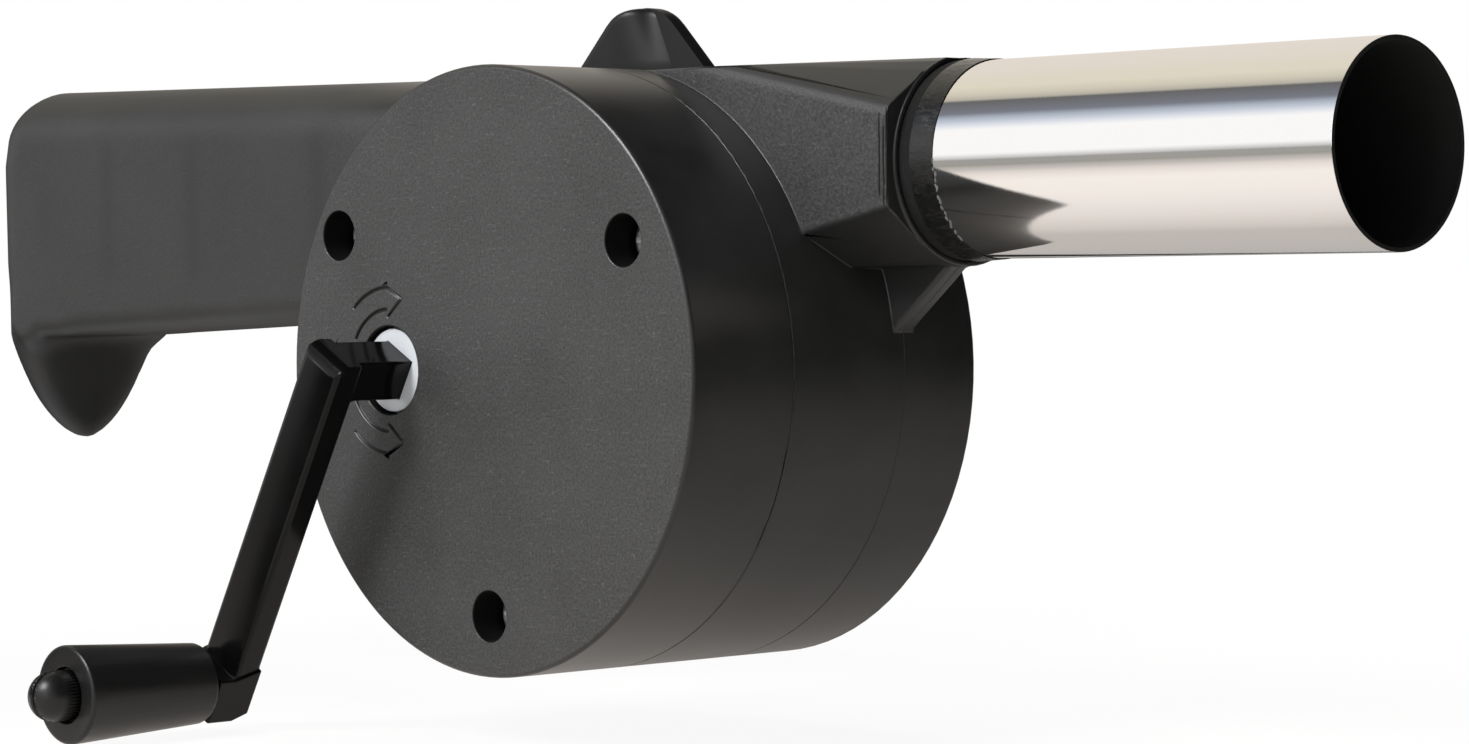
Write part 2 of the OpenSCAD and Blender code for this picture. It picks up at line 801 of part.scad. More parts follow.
// Square shank that joins the arm to the gear's hub, with a fillet under the bend
module arm_shank() {
    half = shank_side / 2;
    fillet = 1.6;
    translate([-half, y_at(arm_back - OVER), -half]) cube([shank_side, shank_end - arm_back + OVER, shank_side]);
    translate([-half, 0, 0]) rotate([90, 0, 90]) linear_extrude(shank_side)
        translate([y_at(arm_back), -half - fillet]) difference() {
            square([fillet, fillet]);
            translate([fillet, 0]) circle(r = fillet);
        }
}

// Pin for the knob, with a split domed head that snaps over the knob's end
module knob_pin() {
    difference() {
        union() {
            rod(pin_r, snap_mid, block_front + OVER);
            rod(snap_r, snap_mid, snap_back);
            intersection() {
                translate([0, y_at(snap_mid), 0]) sphere(r = snap_r);
                rod(snap_r + OVER, snap_mid - snap_r - OVER, snap_mid + snap_r / 2);
            }
        }
        rotate([0, -crank_tilt, 0]) translate([-slit_w / 2, y_at(snap_mid - snap_r - OVER), -snap_r - OVER])
            cube([slit_w, slit_len + OVER, 2 * (snap_r + OVER)]);
    }
}

// Block at the arm's end that carries the pin, with a sloping top and a chamfer at its back
module arm_block() {
    translate([-block_half_w, 0, 0]) rotate([90, 0, 90]) linear_extrude(2 * block_half_w) polygon([
        [y_at(block_front), -block_low], [y_at(arm_back - block_heel[0]), -block_low],
        [y_at(arm_back), block_heel[1] - block_low], [y_at(arm_back), block_high[1]],
        [y_at(arm_front), block_high[0]], [y_at(block_front), block_high[0]]
    ]);
}

module crank_arm() {
    color(GLOSS_BLACK) at(crank_at) rotate([0, crank_tilt, 0]) {
        arm_bar();
        arm_shank();
        at([0, -crank_len]) {
            arm_block();
            knob_pin();
        }
    }
}

module crank_knob() {
    edge = [for (i = [0:4]) [
        knob_r - knob_edge_r + knob_edge_r * sin(i * 22.5),
        knob_front + knob_edge_r - knob_edge_r * cos(i * 22.5)
    ]];
    color(BLACK) at(crank_at) rotate([0, crank_tilt, 0]) at([0, -crank_len]) turned(concat(
        [[pin_r + run_gap, knob_front + knob_well_depth], [knob_well_r, knob_front + knob_well_depth],
         [knob_well_r, knob_front]],
        edge,
        [[knob_root_r, knob_back - 0.7], [knob_root_r - 0.2, knob_back - 0.2], [knob_root_r - 0.6, knob_back],
         [pin_r + run_gap, knob_back]]
    ));
}

module fan_shaft() {
    color(STEEL) rod(shaft_r, fan_front, rear_pocket_back - side_gap);
}

module fan_pinion() {
    color(BRASS) difference() {
        gear(pinion_teeth, fan_phase, fan_pinion_front, fan_pinion_back);
        rod(shaft_r + fit_gap, fan_pinion_front - OVER, fan_pinion_back + OVER);
    }
}

module fan_washers() {
    flange_back = chamber_front + bush_flange_t;
    color(STEEL) {
        ring(washer_r, shaft_r + fit_gap, bearing_front - fit_gap - washer_t, bearing_front - fit_gap);
        ring(washer_r, shaft_r + fit_gap, flange_back + fit_gap, flange_back + fit_gap + washer_t);
    }
}

module fan_clip() {
    mouth_w = shaft_r * 1.3;
    color(STEEL) difference() {
        ring(clip_r, shaft_r + fit_gap, clip_front, clip_front + clip_t);
        translate([0, y_at(clip_front - OVER), -mouth_w / 2]) cube([clip_r + OVER, clip_t + 2 * OVER, mouth_w]);
    }
}

module impeller() {
    blade = [fan_r - blade_in_r, impeller_back - impeller_disc, blade_t];
    color(GLOSS_BLACK) difference() {
        union() {
            rod(impeller_hub_r, impeller_front, impeller_hub_back);
            rod(fan_r, impeller_disc, impeller_disc + blade_t);
            intersection() {
                rod(fan_r, impeller_disc, impeller_back);
                for (k = [0:blade_count - 1]) rotate([0, 360 * k / blade_count, 0])
                    translate([blade_in_r, y_at(impeller_disc), 0]) rotate([0, -blade_lean, 0])
                        translate([0, 0, -blade_t / 2]) cube([blade[0] * 1.3, blade[1], blade[2]]);
            }
        }
        rod(shaft_r + fit_gap, impeller_front - OVER, impeller_hub_back + OVER);
    }
}

front_cover();
mid_housing();
rear_housing();
blast_tube();
tube_seal();
cover_screws();
housing_screws();
handle_screws();
ear_screw();
idler_axle();
idler_washers();
crank_washer();
fan_bush_front();
fan_bush_rear();
crank_gear();
crank_arm();
crank_knob();
idler_gear();
fan_shaft();
fan_pinion();
fan_washers();
fan_clip();
impeller();
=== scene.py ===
"""Looks of a hand-cranked barbecue blower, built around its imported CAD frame. Metres, +Z up."""
import json
import math

import bmesh
import bpy
import numpy as np
from mathutils import Matrix, Vector, noise

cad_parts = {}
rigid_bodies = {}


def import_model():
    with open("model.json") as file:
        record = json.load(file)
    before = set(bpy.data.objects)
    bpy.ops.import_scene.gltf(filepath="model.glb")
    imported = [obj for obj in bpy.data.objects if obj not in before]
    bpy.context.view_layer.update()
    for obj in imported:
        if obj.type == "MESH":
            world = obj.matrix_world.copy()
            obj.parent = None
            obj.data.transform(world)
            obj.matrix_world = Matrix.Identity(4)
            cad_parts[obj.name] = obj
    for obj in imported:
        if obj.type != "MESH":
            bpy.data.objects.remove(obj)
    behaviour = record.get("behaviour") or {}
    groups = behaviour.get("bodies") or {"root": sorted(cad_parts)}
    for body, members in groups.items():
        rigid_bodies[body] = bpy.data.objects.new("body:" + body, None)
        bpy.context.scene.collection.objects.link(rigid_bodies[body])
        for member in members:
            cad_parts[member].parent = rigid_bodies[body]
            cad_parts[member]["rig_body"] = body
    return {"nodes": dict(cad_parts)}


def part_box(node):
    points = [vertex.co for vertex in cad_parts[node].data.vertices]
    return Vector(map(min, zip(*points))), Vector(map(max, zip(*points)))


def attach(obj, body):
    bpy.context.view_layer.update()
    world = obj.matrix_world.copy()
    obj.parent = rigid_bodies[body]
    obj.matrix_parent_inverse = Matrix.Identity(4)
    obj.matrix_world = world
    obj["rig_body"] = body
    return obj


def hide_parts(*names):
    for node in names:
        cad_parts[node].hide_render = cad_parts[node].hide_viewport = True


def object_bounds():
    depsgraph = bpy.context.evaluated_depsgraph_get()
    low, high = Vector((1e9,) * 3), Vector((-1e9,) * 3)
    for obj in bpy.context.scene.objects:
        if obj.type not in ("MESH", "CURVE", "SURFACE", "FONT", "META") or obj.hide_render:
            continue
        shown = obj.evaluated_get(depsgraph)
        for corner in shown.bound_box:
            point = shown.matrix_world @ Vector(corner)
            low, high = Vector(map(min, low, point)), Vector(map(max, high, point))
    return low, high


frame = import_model()
cad_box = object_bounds()

MM = 0.001

# Sizes of the part: from the boxes of its CAD nodes, or repeated from its source
COVER_LOW, COVER_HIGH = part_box("front_cover")
MID_LOW, MID_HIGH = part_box("mid_housing")
TUBE_LOW, TUBE_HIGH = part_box("blast_tube")
SEAL_END_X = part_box("tube_seal")[1].x
KNOB_FRONT_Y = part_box("crank_knob")[0].y
DRUM_R = COVER_HIGH.x
FRONT_Y = COVER_LOW.y
COVER_DEPTH, DUCT_DEPTH = 17.6 * MM, 23.2 * MM
COVER_JOINT_Y = FRONT_Y + COVER_DEPTH
DUCT_FACE_Y = FRONT_Y + DUCT_DEPTH
SPLIT_Y = MID_HIGH.y
DUCT_END_X = MID_HIGH.x
SLEEVE_W = 1.8 * MM
BAND_X = DUCT_END_X + SLEEVE_W
TUBE_Y = (TUBE_LOW.y + TUBE_HIGH.y) / 2
TUBE_Z = (TUBE_LOW.z + TUBE_HIGH.z) / 2
TUBE_R = (TUBE_HIGH.z - TUBE_LOW.z) / 2
TUBE_WALL = 0.6 * MM
# The inlet slots lie within this radius of the axis, in the rear wall
INLET_R, REAR_WALL_Y = 24.0 * MM, -5.0 * MM

# Camera: fitted to the drum's edges, the parting planes and the tube
IMAGE_W = 1469
CAMERA_AZIMUTH = math.radians(46.222)
CAMERA_ELEVATION = math.radians(1.271)
CAMERA_ROLL = math.radians(-0.632)
CAMERA_DISTANCE = 543.57 * MM
CAMERA_RIGHT = 32.978 * MM
CAMERA_UP = -0.062 * MM
FOCAL_PX = 4139.3
SENSOR_W = 36.0

# Handle: the smooth moulded form of the grip and its finger guard, in millimetres.
# Y is measured from the joint between the two housings.
GRIP_CUT = -44.0
GRIP_ROOT = -4.0
GRIP_END = MID_LOW.x / MM
GRIP_HALF = -SPLIT_Y / MM
GRIP_TOP, GRIP_RISE = 40.0, 2.9
GRIP_ROOT_H, GRIP_H = 31.1, 39.2
GRIP_EDGE_R, GRIP_END_R, GRIP_TOP_R, GRIP_HEEL_R = 8.0, 9.0, 13.0, 10.5
# Radius of the lower edge, and where it narrows towards the guard, from the handle's end
GRIP_LOW_R, GRIP_LOW_FROM, GRIP_LOW_TO = 3.0, 13.0, 23.0
# Edge radius of the housings' CAD copies, which the handle takes on towards the cut
GRIP_CAD_R, GRIP_EASE = 7.0, 13.0
GRIP_WALL = 2.2
# The end's radius grows from this share of the half height, over these shares to its top and its heel
END_GROW_FROM, END_GROW_TOP, END_GROW_HEEL = 0.4, 0.55, 0.6
# Lean of the end below a level
GRIP_LEAN, GRIP_LEAN_Z = 0.02, 36
GUARD_TOP, GUARD_DROP, GUARD_HALF = 4.7, 17.4, 12.0
# Widest place of the guard from the handle's end, and its reach to either side
GUARD_MID, GUARD_TO_END, GUARD_TO_DRUM = 8.4, 9.0, 4.5
GUARD_POWER, GUARD_END_POWER, GUARD_DRUM_POWER = 1.58, 2.5, 2.2
# The guard's drum side flares and stiffens above a level, and the guard spreads above another
GUARD_RISE_Z, GUARD_RISE, GUARD_FLARE, GUARD_STIFFEN = -8, 14, 2.0, 1.8
GUARD_SPREAD_Z, GUARD_SPREAD_RISE, GUARD_SPREAD = -3, 7, 0.8
# Size that turns the guard's relative form to millimetres, and the level up to which it reaches
GUARD_SIZE, GUARD_INTO_Z = 8, 20
# Soft blend of the guard: it fades upwards below a level, and grows away from the handle's end
GUARD_BLEND, BLEND_Z, BLEND_FADE, BLEND_FROM, BLEND_GROW = 4.6, 14, 8, 5, 7
RIB_XS, RIB_HALF = (-65.6, -96.3, -118.5), 0.8
HANDLE_SCREW_XS, HANDLE_SCREW_Z, HANDLE_POST_R = (-55.0, -107.0, -136.0), 23.3, 4.0
# Screw wells from behind: radius of well and hole, seat of the head, and end of the hole
HANDLE_WELL_R, HANDLE_HOLE_R, HANDLE_SEAT_Y, HANDLE_HOLE_Y = 3.35, 1.6, -9.6, -15
# Sink marks over the ribs: depth, half width, and where on the two sides they lie
SINK_DEPTH, SINK_HALF, SINK_Y, SINK_Z, SINK_SPAN = 0.05, 2.0, 10, 24, 12
GRID, EAR_GRID = 1.0, 0.4

# Ear: two lugs on top of the drum, in millimetres, with Y measured from the joint
EAR_MID = -8.9
EAR_FLANK = 52.6
EAR_H, EAR_TOP_R, EAR_CROWN_R = 9.2, 7.2, 7.25
EAR_CROWN_Z = DRUM_R / MM + EAR_H - EAR_TOP_R
EAR_LUG = 3.08
EAR_EDGE = 1.6
# How far each lug reaches past the joint, so that no gap shows there
EAR_PROUD = 0.06 * MM
# The front lug's fold: where it starts to narrow, over which height, and its slope at foot and crown
FOLD_Z, FOLD_RISE, FOLD_FOOT, FOLD_LOSS = EAR_FLANK - 10.8, 8, 5.0, 3.0
EAR_CUT_Z = DRUM_R + 0.6 * MM
EAR_LOW_R = DRUM_R / MM - 1.2


def link(obj):
    bpy.context.scene.collection.objects.link(obj)
    return obj


def add_camera():
    """A camera that looks at the middle of the drum's front face, moved sideways by CAMERA_RIGHT."""
    ca, sa = math.cos(CAMERA_AZIMUTH), math.sin(CAMERA_AZIMUTH)
    ce, se = math.cos(CAMERA_ELEVATION), math.sin(CAMERA_ELEVATION)
    back = Vector((sa * ce, -ca * ce, se))
    right = Vector((ca, sa, 0))
    up = back.cross(right)
    cr, sr = math.cos(CAMERA_ROLL), math.sin(CAMERA_ROLL)
    right, up = cr * right + sr * up, cr * up - sr * right
    data = bpy.data.cameras.new("camera")
    data.sensor_width = SENSOR_W
    data.sensor_fit = "HORIZONTAL"
    data.lens = FOCAL_PX / IMAGE_W * SENSOR_W
    data.clip_start = 0.01
    camera = link(bpy.data.objects.new("camera", data))
    turn = Matrix((right, up, back)).transposed().to_4x4()
    place = Vector((0, FRONT_Y, 0)) + back * CAMERA_DISTANCE + right * CAMERA_RIGHT + up * CAMERA_UP
    camera.matrix_world = Matrix.Translation(place) @ turn
    bpy.context.scene.camera = camera


class Nodes:
    """Short ways to add and link the nodes of one material or world."""

    def __init__(self, owner):
        owner.use_nodes = True
        self.tree = owner.node_tree
        self.tree.nodes.clear()

    def add(self, kind, **values):
        node = self.tree.nodes.new("ShaderNode" + kind)
        for key, value in values.items():
            setattr(node, key, value)
        return node

    def link(self, a, b):
        self.tree.links.new(a, b)

    def put(self, socket, value):
        """Sets a socket to a constant, or links another socket to it."""
        if isinstance(value, bpy.types.NodeSocket):
            self.link(value, socket)
        else:
            socket.default_value = value

    def place(self, scale=1.0, stretch=(1, 1, 1), turn=(0, 0, 0)):
        """Object coordinates, turned and stretched, in units of 1 / scale metres."""
        coord = self.add("TexCoord")
        mapping = self.add("Mapping")
        mapping.inputs["Rotation"].default_value = turn
        mapping.inputs["Scale"].default_value = [scale * s for s in stretch]
        self.link(coord.outputs["Object"], mapping.inputs["Vector"])
        return mapping.outputs["Vector"]

    def split(self, vector):
        node = self.add("SeparateXYZ")
        self.link(vector, node.inputs["Vector"])
        return node.outputs

    def noise(self, vector, detail=3.0, roughness=0.5, distortion=0.0):
        node = self.add("TexNoise")
        node.inputs["Scale"].default_value = 1.0
        node.inputs["Detail"].default_value = detail
        node.inputs["Roughness"].default_value = roughness
        node.inputs["Distortion"].default_value = distortion
        self.link(vector, node.inputs["Vector"])
        return node.outputs["Fac"]

    def fit(self, value, low, high, to_low=0.0, to_high=1.0):
        """Maps low..high to to_low..to_high, held at its ends."""
        node = self.add("MapRange")
        self.link(value, node.inputs["Value"])
        for key, number in zip(("From Min", "From Max", "To Min", "To Max"), (low, high, to_low, to_high)):
            self.put(node.inputs[key], number)
        return node.outputs["Result"]

    def math(self, operation, a, b=0.0):
        node = self.add("Math", operation=operation)
        for socket, value in zip(node.inputs, (a, b)):
            self.put(socket, value)
        return node.outputs["Value"]

    def ramp(self, value, stops):
        """Colour ramp of (position, colour) stops."""
        node = self.add("ValToRGB")
        self.link(value, node.inputs["Fac"])
        band = node.color_ramp.elements
        for position, colour in stops[1:-1]:
            band.new(position)
        for element, (position, colour) in zip(band, stops):
            element.position = position
            element.color = colour
        return node.outputs["Color"]

    def mix(self, share, a, b):
        """Mixes two colours. The node's sockets 6 and 7 are its colours, and output 2 is the mixed one."""
        node = self.add("Mix", data_type="RGBA")
        self.put(node.inputs[0], share)
        self.put(node.inputs[6], a)
        self.put(node.inputs[7], b)
        return node.outputs[2]

    def bump(self, height, distance):
        node = self.add("Bump")
        node.inputs["Distance"].default_value = distance
        self.link(height, node.inputs["Height"])
        return node.outputs["Normal"]

    def shade(self, **values):
        """A Principled BSDF as the output; names use _ for a space."""
        bsdf = self.add("BsdfPrincipled")
        for key, value in values.items():
            self.put(bsdf.inputs[key.replace("_", " ")], value)
        out = self.add("OutputMaterial")
        self.link(bsdf.outputs["BSDF"], out.inputs["Surface"])


def grey(value):
    return (value, value, value, 1.0)


def new_material(name):
    material = bpy.data.materials.new(name)
    return material, Nodes(material)


def scratched(n, wear, scale, stretch, turns, low, high):
    """A wear value with short scratches in a few directions added to it."""
    for turn in turns:
        streak = n.noise(n.place(scale, stretch, (0, turn, 0)), detail=2)
        wear = n.math("MAXIMUM", wear, n.fit(streak, low, high))
    return wear


def moulded_plastic(name, dark, light, smooth, rough, grain, marks=1.0, shine=0.5):
    """Moulded plastic: fine grain, faint flow marks, specks and short scratches.

    Its colour lies between dark and light, and its roughness between smooth and rough. Grain is the grain's
    height, and marks the share of specks and scratches.
    """
    material, n = new_material(name)
    fine = n.noise(n.place(scale=2400), detail=2)
    cloud = n.noise(n.place(scale=70), detail=4, roughness=0.6)
    speck = n.fit(n.noise(n.place(scale=1500), detail=1), 0.66, 0.78)
    wear = scratched(n, n.math("MULTIPLY", speck, 0.8), 330, (1, 9, 16), (0.5, 1.3, 2.5), 0.68, 0.8)
    wear = n.math("MULTIPLY", wear, marks)
    tone = n.math("ADD", n.math("MULTIPLY", n.fit(cloud, 0.3, 0.7), 0.3), n.math("MULTIPLY", wear, 0.5))
    tone = n.math("ADD", tone, n.math("MULTIPLY", n.fit(fine, 0.3, 0.7), 0.35 * marks))
    height = n.math("ADD", n.math("MULTIPLY", fine, 0.7), n.math("MULTIPLY", wear, 0.3))
    n.shade(
        Base_Color=n.mix(tone, dark, light),
        Roughness=n.fit(cloud, 0.3, 0.7, smooth, rough),
        Specular_IOR_Level=shine,
        Normal=n.bump(height, grain),
    )
    return material


def sink_mark_shade(n, x, z):
    """Painted shade of the sink marks: 1 over the handle's ribs, 0.7 over its last screw post, and 0 beside
    them.
    """
    reach, fade = 0.011, 0.003
    low, high = HANDLE_SCREW_Z * MM - reach, HANDLE_SCREW_Z * MM + reach
    level = n.math("MULTIPLY", n.fit(z, low - fade, low + fade), n.fit(z, high + fade, high - fade))
    post_x = n.math("SUBTRACT", x, HANDLE_SCREW_XS[-1] * MM)
    post_z = n.math("MULTIPLY", n.math("SUBTRACT", z, HANDLE_SCREW_Z * MM), 0.5)
    post = n.math("ADD", n.math("MULTIPLY", post_x, post_x), n.math("MULTIPLY", post_z, post_z))
    sunk = n.fit(n.math("SQRT", post), 0.0005, 0.0035, 0.7, 0.0)
    for rib in RIB_XS:
        near = n.math("ABSOLUTE", n.math("SUBTRACT", x, rib * MM))
        line = n.fit(near, 0.0002, 0.0032, 1.0, 0.0)
        sunk = n.math("MAXIMUM", sunk, n.math("MULTIPLY", line, level))
    return sunk


def case_plastic(name):
    """Black plastic of the case: speckled on flat front faces, smoother on the drum, soft on the handle.
    Its colour is lighter on faces turned to the front than on the sides, and darker on the handle and
    behind the cover: painted light and shade.
    """
    material, n = new_material(name)
    coord = n.add("TexCoord")
    across = n.math("ABSOLUTE", n.split(coord.outputs["Normal"])[1])
    x, y, z = n.split(coord.outputs["Object"])
    # Fewer marks on the handle and behind the cover, and a darker colour there as painted shade
    wear_and_shade = n.math("MULTIPLY", n.fit(x, -0.075, -0.04, 0.4, 1.0), n.fit(y, -0.021, -0.026, 0.25, 1.0))
    flat = n.math("MULTIPLY", n.fit(across, 0.85, 0.97), wear_and_shade)
    fine = n.fit(n.noise(n.place(scale=2700), detail=2), 0.3, 0.7)
    cloud = n.fit(n.noise(n.place(scale=60), detail=4, roughness=0.6), 0.3, 0.7)
    speck = n.fit(n.noise(n.place(scale=1500), detail=1), 0.67, 0.8)
    wear = scratched(n, n.math("MULTIPLY", speck, 0.8), 420, (1, 1, 13), (0.35, 1.1, 1.9, 2.7), 0.7, 0.82)
    mark = n.math("ADD", n.math("MULTIPLY", fine, 0.75), n.math("MULTIPLY", wear, 0.8))
    # Faces turned to the front take their marks and a lighter colour than the sides: real specks and
    # scratches, and painted light
    tone = n.math("ADD", n.math("MULTIPLY", cloud, 0.22), n.math("MULTIPLY", mark, flat))
    # Painted shade: the colour is darker over the sink marks
    tone = n.math("MULTIPLY", tone, n.fit(sink_mark_shade(n, x, z), 0, 1, 1.0, 0.25))
    bump = n.math("ADD", n.math("MULTIPLY", fine, 0.7), wear)
    bump = n.math("MULTIPLY", bump, n.fit(flat, 0, 1, 0.12, 1))
    # From the handle to the drum: rougher on the handle, and its colour darker there as painted shade
    handle_x, drum_x = -0.065, -0.045
    smooth = n.fit(x, handle_x, drum_x, 0.46, 0.3)
    tone = n.math("MULTIPLY", tone, n.fit(x, handle_x, drum_x, 0.5, 0.9))
    n.shade(
        Base_Color=n.mix(tone, grey(0.013), grey(0.062)),
        Roughness=n.fit(n.math("ADD", flat, n.math("MULTIPLY", cloud, 0.25)), 0.0, 1.25, smooth, 0.52),
        Normal=n.bump(bump, 0.035 * MM),
    )
    return material


def seal_plastic(name):
    """Black seal: a dull sleeve, darker than the band as painted shade of the groove, and a smeared glossy
    band.
    """
    material, n = new_material(name)
    x = n.split(n.add("TexCoord").outputs["Object"])[0]
    band = n.fit(x, BAND_X - 0.1 * MM, BAND_X + 0.1 * MM)
    smear = n.noise(n.place(420, (1, 3, 3)), 4, 0.6, 1.5)
    # The sleeve's colour is the darkest: painted shade of the groove around it
    n.shade(
        Base_Color=n.mix(n.math("MULTIPLY", band, smear), grey(0.0025), grey(0.014)),
        Roughness=n.math("ADD", n.fit(band, 0, 1, 0.8, 0.0), n.fit(smear, 0.35, 0.65, 0.1, 0.32)),
        Normal=n.bump(n.math("MULTIPLY", smear, band), 0.06 * MM),
    )
    return material


def drawn_metal(name, colour, smooth, rough, stretch, depth):
    """Metal with fine drawn lines, whose roughness lies between smooth and rough."""
    material, n = new_material(name)
    lines = n.noise(n.place(1200, stretch), 3)
    tint = n.mix(lines, [c * 0.95 for c in colour[:3]] + [1], colour)
    n.shade(
        Base_Color=tint, Metallic=1.0, Roughness=n.fit(lines, 0.3, 0.7, smooth, rough),
        Normal=n.bump(lines, depth),
    )
    return material


def edge_angle(edge):
    return edge.calc_face_angle(0.0) if len(edge.link_faces) == 2 else 0.0


def cut(work, place, normal):
    """Cuts off what lies beyond a plane and closes the section. Returns the edges of the cut."""
    geom = work.verts[:] + work.edges[:] + work.faces[:]
    done = bmesh.ops.bisect_plane(
        work, geom=geom, dist=0.0005 * MM, plane_co=place, plane_no=normal, clear_outer=True)
    rim = [e for e in done["geom_cut"] if isinstance(e, bmesh.types.BMEdge)]
    bmesh.ops.triangle_fill(work, use_beauty=True, edges=rim, normal=normal)
    for edge in rim:
        edge.smooth = False
    return set(rim)


def finish_mesh(work, name, sharp):
    """Turns a bmesh into a mesh with smooth faces and sharp edges past an angle."""
    for face in work.faces:
        face.smooth = True
    for edge in work.edges:
        if edge_angle(edge) > math.radians(sharp):
            edge.smooth = False
    bmesh.ops.recalc_face_normals(work, faces=work.faces)
    mesh = bpy.data.meshes.new(name)
    work.to_mesh(mesh)
    work.free()
    if "custom_normal" in mesh.attributes:
        mesh.attributes.remove(mesh.attributes["custom_normal"])
    return mesh


def add_piece(name, mesh, material, body, nodes=()):
    """An object of the part that moves with a body, and may stand for CAD nodes."""
    mesh.materials.append(material)
    piece = link(bpy.data.objects.new(name, mesh))
    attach(piece, body)
    if nodes:
        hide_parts(*nodes)
    return piece


def refined(node, width, material, segments=2, cuts=(), radius=None, shape=None):
    """A copy of a CAD node with coplanar faces joined and edges rounded, which stands for the node.

    Every edge is rounded by the width, or by what the radius function gives for it.
    """
    source = frame["nodes"][node]
    work = bmesh.new()
    work.from_mesh(source.data)
    weight = work.edges.layers.float.new("bevel_weight_edge")
    bmesh.ops.remove_doubles(work, verts=work.verts, dist=0.001 * MM)
    bmesh.ops.dissolve_limit(work, angle_limit=math.radians(0.4), verts=work.verts, edges=work.edges)
    rim = set()
    for place, normal in cuts:
        rim |= cut(work, place, normal)
    if shape:
        shape(work)
    sizes = {}
    for edge in work.edges:
        if edge not in rim and edge_angle(edge) > math.radians(28):
            sizes[edge] = radius(edge) if radius else width
    widest = max(sizes.values())
    for edge, size in sizes.items():
        edge[weight] = size / widest
    mesh = finish_mesh(work, node + "_shell", 75)
    piece = add_piece(node + "_shell", mesh, material, source["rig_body"], (node,))
    edges = piece.modifiers.new("edges", "BEVEL")
    edges.limit_method = "WEIGHT"
    edges.width = widest
    edges.segments = segments
    edges.use_clamp_overlap = False
    even = piece.modifiers.new("even", "WEIGHTED_NORMAL")
    even.keep_sharp = True
    return piece


# Rounding of the case's edges: in general, at the joints, along the duct's front and along the gusset
CASE_EDGE, JOINT_EDGE, DUCT_EDGE, GUSSET_EDGE = 0.22 * MM, 0.16 * MM, 1.6 * MM, 0.6 * MM
# The duct's and the gusset's slanting edges: least run along X, where they start, and their heights
SLANT_RUN, SLANT_X, DUCT_EDGE_Z, GUSSET_EDGE_Z = 8 * MM, 25 * MM, 34 * MM, 20 * MM
NEAR = 0.01 * MM


def case_radius(edge):
    """Rounding of an edge of the two housings. The inlet slots stay sharp."""
    one, two = [v.co for v in edge.verts]
    middle = (one + two) / 2
    from_axis = math.hypot(middle.x, middle.z)
    if middle.y > REAR_WALL_Y and from_axis < INLET_R:
        return 0.0
    on_joint = abs(one.y - SPLIT_Y) < NEAR and abs(two.y - SPLIT_Y) < NEAR
    if on_joint or abs(middle.y - COVER_JOINT_Y) < NEAR:
        return JOINT_EDGE
    slant = abs(one.x - two.x) > SLANT_RUN and middle.x > SLANT_X and from_axis > DRUM_R
    if slant and abs(one.y - two.y) < 10 * NEAR and middle.z > DUCT_EDGE_Z:
        return DUCT_EDGE
    if slant and middle.z < GUSSET_EDGE_Z:
        return GUSSET_EDGE
    return CASE_EDGE


def flush_band(work):
    """Brings the band's outer edge down to just above the tube."""
    gap, least, reach = 0.12 * MM, 0.15 * MM, 0.05 * MM
    for vert in work.verts:
        y, z = vert.co.y - TUBE_Y, vert.co.z - TUBE_Z
        r = math.hypot(y, z)
        if vert.co.x > SEAL_END_X - reach and r > TUBE_R + least:
            share = (TUBE_R + gap) / r
            vert.co.y, vert.co.z = TUBE_Y + y * share, TUBE_Z + z * share


def lathe(name, profile, place, steps=48):
    """A closed solid turned about the Y axis from points of (radius, y)."""
    work = bmesh.new()
    rings = []
    for radius, y in profile:
        if radius == 0:
            rings.append([work.verts.new(place + Vector((0, y, 0)))])
            continue
        ring = []
        for k in range(steps):
            a = math.tau * k / steps
            ring.append(work.verts.new(place + Vector((radius * math.cos(a), y, radius * math.sin(a)))))
        rings.append(ring)
    for one, two in zip(rings, rings[1:]):
        for k in range(steps):
            loop = [one[k % len(one)], one[(k + 1) % len(one)], two[(k + 1) % len(two)], two[k % len(two)]]
            work.faces.new(list(dict.fromkeys(loop)))
    bmesh.ops.recalc_face_normals(work, faces=work.faces)
    mesh = bpy.data.meshes.new(name)
    work.to_mesh(mesh)
    work.free()
    return mesh


def carved(mesh, cutters):
    """A mesh with other meshes cut out of it."""
    piece = link(bpy.data.objects.new("carve", mesh))
    tools = []
    for cutter in cutters:
        tool = link(bpy.data.objects.new("cutter", cutter))
        tools.append(tool)
        step = piece.modifiers.new("cut", "BOOLEAN")
        step.operation = "DIFFERENCE"
        step.solver = "EXACT"
        step.object = tool
    graph = bpy.context.evaluated_depsgraph_get()
    result = bpy.data.meshes.new_from_object(piece.evaluated_get(graph))
    for tool in tools + [piece]:
        bpy.data.objects.remove(tool)
    return result


def rounded_corner(a, b, r):
    """Where two fields are both below zero, with a round edge between them."""
    a, b = a + r, b + r
    return np.hypot(np.maximum(a, 0), np.maximum(b, 0)) + np.minimum(np.maximum(a, b), 0) - r


def soft_min(a, b, k):
    """Where either of two fields is below zero, blended over a width."""
    h = np.clip(0.5 + 0.5 * (b - a) / k, 0, 1)
    return b * (1 - h) + a * h - k * h * (1 - h)


def soft_max(a, b, k):
    """Where two fields are both below zero, blended over a width."""
    return -soft_min(-a, -b, k)


